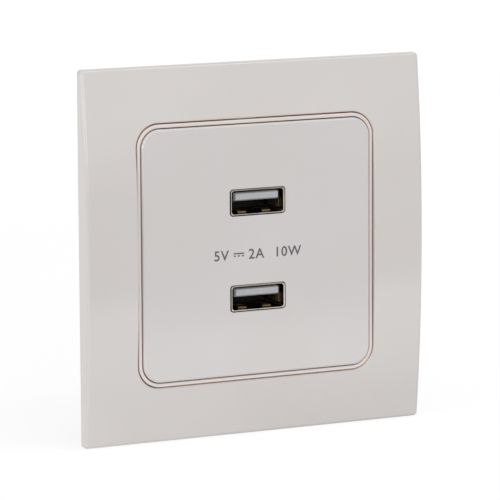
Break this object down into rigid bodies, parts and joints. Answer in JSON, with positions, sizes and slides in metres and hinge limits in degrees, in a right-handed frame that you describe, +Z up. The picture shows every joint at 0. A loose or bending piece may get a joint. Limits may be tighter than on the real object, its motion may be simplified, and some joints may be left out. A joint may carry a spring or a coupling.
{
  "type": "usb wall socket",
  "caption": "Square white flush wall socket with a bowed frame, flat centre plate and stacked USB charging ports, backed by a steel plate with spreading claws and a mains charger housing.",
  "frame": {"origin": "on the wall plane, at the middle of the wall box's screw pattern", "axes": "+X right and +Z up as seen from the room, +Y into the wall"},
  "size_m": [0.0816, 0.0314, 0.0816],
  "materials": {
    "frame_plastic": "gloss white moulded plastic",
    "plate_plastic": "gloss white moulded plastic",
    "ring_plastic": "bright gloss white moulded plastic",
    "zinc_steel": "stamped zinc-plated steel",
    "screw_steel": "zinc-plated screw steel",
    "rivet_steel": "plain rivet steel",
    "housing_plastic": "fine matt grey moulded plastic",
    "lid_plastic": "fine matt black moulded plastic",
    "port_nickel": "nickel-plated folded sheet",
    "port_insulator": "smooth pale moulded plastic",
    "contact_gold": "gold-flashed strip",
    "board_laminate": "green solder mask on glass laminate",
    "pin_metal": "tinned square pins",
    "black_moulding": "black moulded strip",
    "can_sleeve": "shrunk dark sleeve with a pale stripe",
    "ferrite": "sintered dark grey ferrite",
    "bobbin_plastic": "black moulded spool",
    "winding_tape": "yellow winding tape",
    "resistor_body": "lacquered resistor body",
    "disc_epoxy": "blue dipped epoxy",
    "chip_epoxy": "moulded black epoxy",
    "terminal_brass": "plain terminal brass",
    "cage_steel": "plated clamp cage",
    "ring_nylon": "natural moulded plastic"
  },
  "bodies": {
    "socket": {"bezel_frame": "frame_plastic", "trim_ring": "ring_plastic", "centre_plate": "plate_plastic", "mounting_plate": "zinc_steel", "claw_pins": "rivet_steel", "plate_rivets": "rivet_steel", "module_front": "lid_plastic", "module_rear": "housing_plastic", "module_screws": "screw_steel", "usb_board": "board_laminate", "main_board": "board_laminate", "board_pins": "pin_metal", "pin_strip": "black_moulding", "mains_capacitors": "can_sleeve", "output_capacitors": "can_sleeve", "transformer_core": "ferrite", "transformer_bobbin": "bobbin_plastic", "transformer_winding": "winding_tape", "filter_choke": "ferrite", "fuse_resistor": "resistor_body", "safety_capacitor": "disc_epoxy", "bridge_rectifier": "chip_epoxy", "power_chip": "chip_epoxy", "port_controller": "chip_epoxy", "output_diode": "chip_epoxy", "usb_shell_upper": "port_nickel", "usb_insulator_upper": "port_insulator", "usb_contacts_upper": "contact_gold", "usb_shell_lower": "port_nickel", "usb_insulator_lower": "port_insulator", "usb_contacts_lower": "contact_gold", "terminal_bar_live": "terminal_brass", "terminal_bar_neutral": "terminal_brass"},
    "claw_left": {"claw_left": "zinc_steel"},
    "claw_right": {"claw_right": "zinc_steel"},
    "claw_screw_left": {"claw_screw_left": "screw_steel", "retaining_ring_left": "ring_nylon"},
    "claw_screw_right": {"claw_screw_right": "screw_steel", "retaining_ring_right": "ring_nylon"},
    "cage_live": {"terminal_cage_live": "cage_steel"},
    "cage_neutral": {"terminal_cage_neutral": "cage_steel"},
    "clamp_screw_live": {"terminal_screw_live": "screw_steel"},
    "clamp_screw_neutral": {"terminal_screw_neutral": "screw_steel"}
  },
  "joints": [
    {"name": "claw_screw_left_turn", "type": "hinge", "parent": "socket", "child": "claw_screw_left", "pos_m": [-0.02239, 0, 0], "axis": [0, 1, 0], "range_deg": [0, 1274.2]},
    {"name": "claw_left_swing", "type": "hinge", "parent": "socket", "child": "claw_left", "pos_m": [-0.018, 0.0046, 0], "axis": [0, 0, 1], "range_deg": [0, 28]},
    {"name": "claw_screw_right_turn", "type": "hinge", "parent": "socket", "child": "claw_screw_right", "pos_m": [0.02239, 0, 0], "axis": [0, 1, 0], "range_deg": [0, 1274.2]},
    {"name": "claw_right_swing", "type": "hinge", "parent": "socket", "child": "claw_right", "pos_m": [0.018, 0.0046, 0], "axis": [0, 0, -1], "range_deg": [0, 28]},
    {"name": "clamp_screw_live_turn", "type": "hinge", "parent": "socket", "child": "clamp_screw_live", "pos_m": [-0.008, 0.0185, -0.02], "axis": [0, 0, 1], "range_deg": [0, 2160]},
    {"name": "cage_live_slide", "type": "slide", "parent": "socket", "child": "cage_live", "axis": [0, 0, -1], "range_m": [0, 0.003]},
    {"name": "clamp_screw_neutral_turn", "type": "hinge", "parent": "socket", "child": "clamp_screw_neutral", "pos_m": [0.008, 0.0185, -0.02], "axis": [0, 0, 1], "range_deg": [0, 2160]},
    {"name": "cage_neutral_slide", "type": "slide", "parent": "socket", "child": "cage_neutral", "axis": [0, 0, -1], "range_m": [0, 0.003]}
  ],
  "couplings": [
    {"joint": "claw_screw_left_turn", "follows": "claw_left_swing", "ratio": 45.507},
    {"joint": "claw_screw_right_turn", "follows": "claw_right_swing", "ratio": 45.507},
    {"joint": "clamp_screw_live_turn", "follows": "cage_live_slide", "rad_per_m": 12566},
    {"joint": "clamp_screw_neutral_turn", "follows": "cage_neutral_slide", "rad_per_m": 12566}
  ]
}
